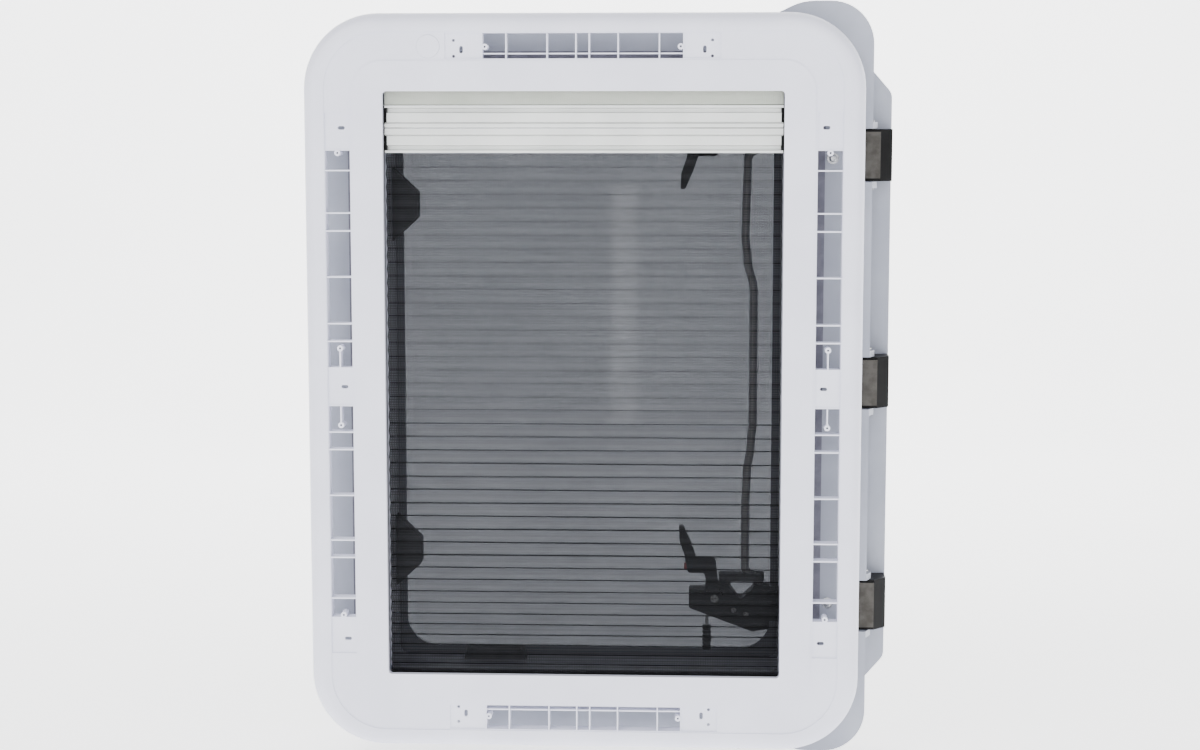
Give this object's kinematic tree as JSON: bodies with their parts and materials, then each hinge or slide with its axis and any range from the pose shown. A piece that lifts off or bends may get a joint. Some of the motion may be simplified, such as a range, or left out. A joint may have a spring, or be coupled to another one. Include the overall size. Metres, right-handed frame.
{
  "type": "caravan roof window with pleated blinds",
  "caption": "Hinged roof window with a moulded trim frame, a clear double dome sash, pleated insect screen and blackout blind, bow rod and locking hand levers.",
  "frame": {"origin": "centre of the side screw slots, on the cabin face of their pads", "axes": "+X right seen from the cabin, +Y outward through the roof, +Z along the long side"},
  "size_m": [0.6305, 0.1374, 0.822],
  "materials": {
    "white_plastic": "satin",
    "outer_plastic": "satin",
    "rail_plastic": "matte",
    "anodised": "satin anodised",
    "black_nylon": "matte",
    "red_plastic": "gloss",
    "stainless": "brushed",
    "zinc": "bright",
    "acrylic": "clear",
    "seal_rubber": "matte",
    "mesh": "woven mesh",
    "blackout": "pleated cloth",
    "satin_rod": "satin"
  },
  "bodies": {
    "frame": {"trim_frame": "white_plastic", "blank_plug": "white_plastic", "flange_screws": "zinc", "guide_rail_left": "rail_plastic", "guide_rail_right": "rail_plastic", "head_rail": "rail_plastic", "sill_rail": "rail_plastic", "insect_screen": "mesh", "blackout_blind": "blackout", "upstand": "outer_plastic", "outer_flange": "outer_plastic", "cutout_spigot": "outer_plastic", "roof_gasket": "seal_rubber", "sash_seal": "seal_rubber", "wall_buffers": "seal_rubber", "hinge_pins": "zinc", "bracket_screws": "zinc", "lever_pins": "zinc", "bracket_lower": "black_nylon", "bracket_upper": "black_nylon"},
    "sash": {"sash_frame": "outer_plastic", "dome_outer": "acrylic", "dome_inner": "acrylic", "hinge_bodies": "black_nylon", "hinge_plates": "stainless"},
    "bow": {"bow_rod": "satin_rod", "bow_arms": "black_nylon"},
    "blackout_carriage": {"blackout_bar": "anodised", "blackout_bar_caps": "black_nylon"},
    "screen_carriage": {"screen_bar": "anodised", "screen_bar_caps": "black_nylon"},
    "lever_lower_arm": {"lever_lower": "black_nylon"},
    "button_lower_body": {"button_lower": "red_plastic"},
    "lever_upper_arm": {"lever_upper": "black_nylon"},
    "button_upper_body": {"button_upper": "red_plastic"},
    "plunger": {"plunger_pin": "zinc", "plunger_knob": "black_nylon"}
  },
  "joints": [
    {"name": "sash_hinge", "type": "hinge", "parent": "frame", "child": "sash", "pos_m": [0.309, 0.072, 0], "axis": [0, 0, -1], "range_deg": [0, 50]},
    {"name": "bow_swing", "type": "hinge", "parent": "frame", "child": "bow", "pos_m": [0.192, 0.062, 0], "axis": [0, 0, -1], "range_deg": [0, 60]},
    {"name": "blackout_slide", "type": "slide", "parent": "frame", "child": "blackout_carriage", "axis": [0, 0, -1], "range_m": [0, 0.55], "deforming": ["blackout_blind"]},
    {"name": "screen_slide", "type": "slide", "parent": "frame", "child": "screen_carriage", "axis": [0, 0, -1], "range_m": [0, 0.55], "deforming": ["insect_screen"]},
    {"name": "lever_lower_turn", "type": "hinge", "parent": "frame", "child": "lever_lower_arm", "pos_m": [0.142, 0.043, -0.236], "axis": [0, -1, 0], "range_deg": [0, 65]},
    {"name": "button_lower_press", "type": "slide", "parent": "lever_lower_arm", "child": "button_lower_body", "axis": [1, 0, 0], "range_m": [0, 0.0025], "stiffness_N_per_m": 400, "springref_m": -0.0005},
    {"name": "plunger_pull", "type": "slide", "parent": "frame", "child": "plunger", "axis": [0, 0, -1], "range_m": [0, 0.006], "stiffness_N_per_m": 500, "springref_m": -0.002},
    {"name": "lever_upper_turn", "type": "hinge", "parent": "frame", "child": "lever_upper_arm", "pos_m": [0.142, 0.043, 0.291], "axis": [0, 1, 0], "range_deg": [0, 65]},
    {"name": "button_upper_press", "type": "slide", "parent": "lever_upper_arm", "child": "button_upper_body", "axis": [1, 0, 0], "range_m": [0, 0.0025], "stiffness_N_per_m": 400, "springref_m": -0.0005}
  ],
  "couplings": [
    {"joint": "bow_swing", "follows": "sash_hinge", "ratio": 1.2},
    {"joint": "screen_slide", "follows": "blackout_slide", "ratio": 1}
  ]
}
